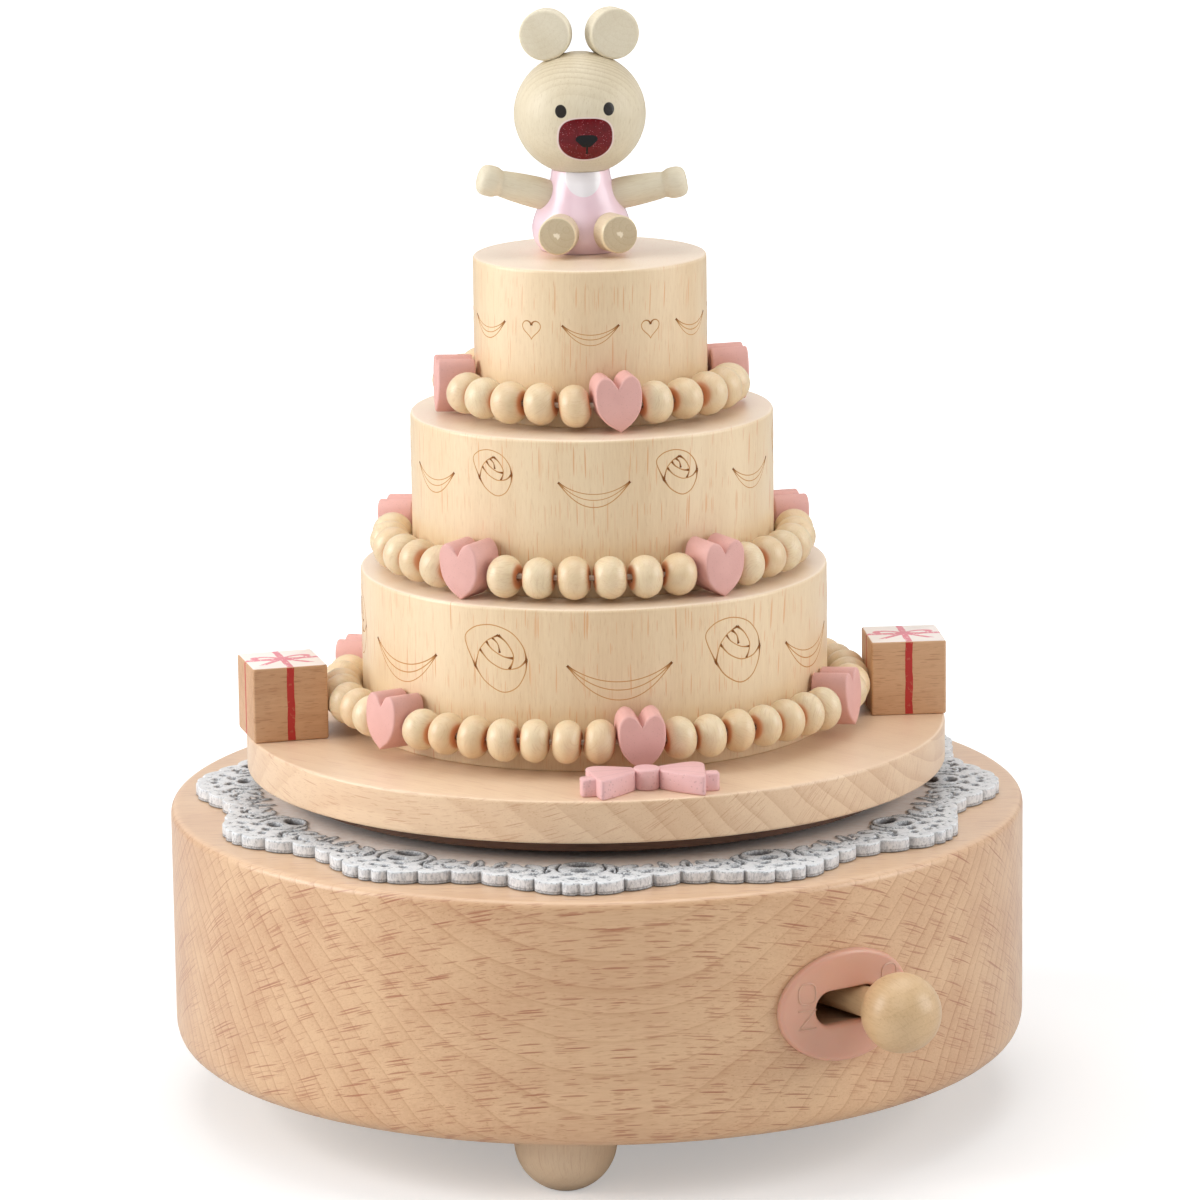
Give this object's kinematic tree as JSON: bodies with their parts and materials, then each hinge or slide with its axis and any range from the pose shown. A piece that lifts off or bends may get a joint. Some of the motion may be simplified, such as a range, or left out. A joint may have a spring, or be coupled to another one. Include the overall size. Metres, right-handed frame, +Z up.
{
  "type": "wooden music box",
  "caption": "Free-standing round wooden music box with a turning tiered cake, bead strings, hearts, gifts and a small bear over a clockwork comb movement.",
  "frame": {"origin": "centre of the three feet's circle at the floor, on the turntable's axis", "axes": "+Z up along the turntable's axis; the front, where the lever sits to the right, faces -Y; +X to the right"},
  "size_m": [0.11, 0.1105, 0.141],
  "materials": {
    "beech": "satin oiled beech",
    "plywood": "plain plywood",
    "maple": "satin pale maple",
    "dark_wood": "dark stained wood",
    "white_paint": "white painted lace plywood with grey antiquing",
    "pink_paint": "pink painted wood",
    "cream_lacquer": "cream lacquered wood beads",
    "elastic": "clear elastic cord",
    "pink_plastic": "pink moulded plastic",
    "white_plastic": "white moulded plastic",
    "nylon": "natural nylon",
    "brass": "brushed",
    "steel": "ground steel",
    "cast_zinc": "cast zinc alloy"
  },
  "bodies": {
    "base": {"base_drum": "beech", "bottom_cover": "plywood", "cover_screws": "steel", "foot_1": "beech", "foot_2": "beech", "foot_3": "beech", "lace_doily": "white_paint", "arbor_bush": "brass", "thrust_washer": "nylon", "bedplate": "brass", "movement_screws": "steel", "spring_housing": "brass", "mainspring": "steel", "near_bracket": "steel", "rear_bracket": "steel", "governor_bracket": "steel", "comb_block": "cast_zinc", "music_comb": "steel", "comb_screws": "steel", "lever_pivot": "steel", "lever_plate": "pink_plastic"},
    "turntable": {"spring_arbor": "steel", "great_wheel": "brass", "under_disc": "dark_wood", "turntable_disc": "beech", "cake_tier_bottom": "maple", "cake_tier_middle": "maple", "cake_tier_top": "maple", "beads_bottom": "cream_lacquer", "beads_middle": "cream_lacquer", "beads_top": "cream_lacquer", "hearts_bottom": "pink_paint", "hearts_middle": "pink_paint", "hearts_top": "pink_paint", "cord_bottom": "elastic", "cord_middle": "elastic", "cord_top": "elastic", "gift_left": "beech", "gift_right": "beech", "ribbon_bow": "pink_paint", "bear_body": "pink_paint", "bear_head": "maple", "bear_ear_left": "maple", "bear_ear_right": "maple", "bear_arm_left": "maple", "bear_arm_right": "maple", "bear_leg_left": "maple", "bear_leg_right": "maple"},
    "cylinder": {"pinned_cylinder": "brass", "cylinder_arbor": "steel", "cylinder_pinion": "steel", "cylinder_wheel": "brass"},
    "second": {"second_arbor": "steel", "second_pinion": "steel", "worm_wheel": "brass"},
    "fly": {"worm_arbor": "steel", "fly_fan": "white_plastic"},
    "lever": {"lever_arm": "steel", "lever_knob": "beech"}
  },
  "joints": [
    {"name": "turntable_spin", "type": "hinge", "parent": "base", "child": "turntable", "pos_m": [0, 0, 0.0424], "axis": [0, 0, 1], "continuous": true},
    {"name": "cylinder_spin", "type": "hinge", "parent": "base", "child": "cylinder", "pos_m": [0, 0, 0.0215], "axis": [0.9397, -0.342, 0], "continuous": true},
    {"name": "second_spin", "type": "hinge", "parent": "base", "child": "second", "pos_m": [-0.00342, -0.0094, 0.01742], "axis": [0.9397, -0.342, 0], "continuous": true},
    {"name": "fly_spin", "type": "hinge", "parent": "base", "child": "fly", "pos_m": [0.02657, -0.02408, 0.0174], "axis": [0, 0, 1], "continuous": true},
    {"name": "lever", "type": "hinge", "parent": "base", "child": "lever", "pos_m": [0.01634, -0.02516, 0.0242], "axis": [0, 0, -1], "range_deg": [0, 11.4]}
  ],
  "couplings": [
    {"joint": "cylinder_spin", "follows": "turntable_spin", "ratio": 6},
    {"joint": "second_spin", "follows": "turntable_spin", "ratio": -30},
    {"joint": "fly_spin", "follows": "turntable_spin", "ratio": -360}
  ]
}
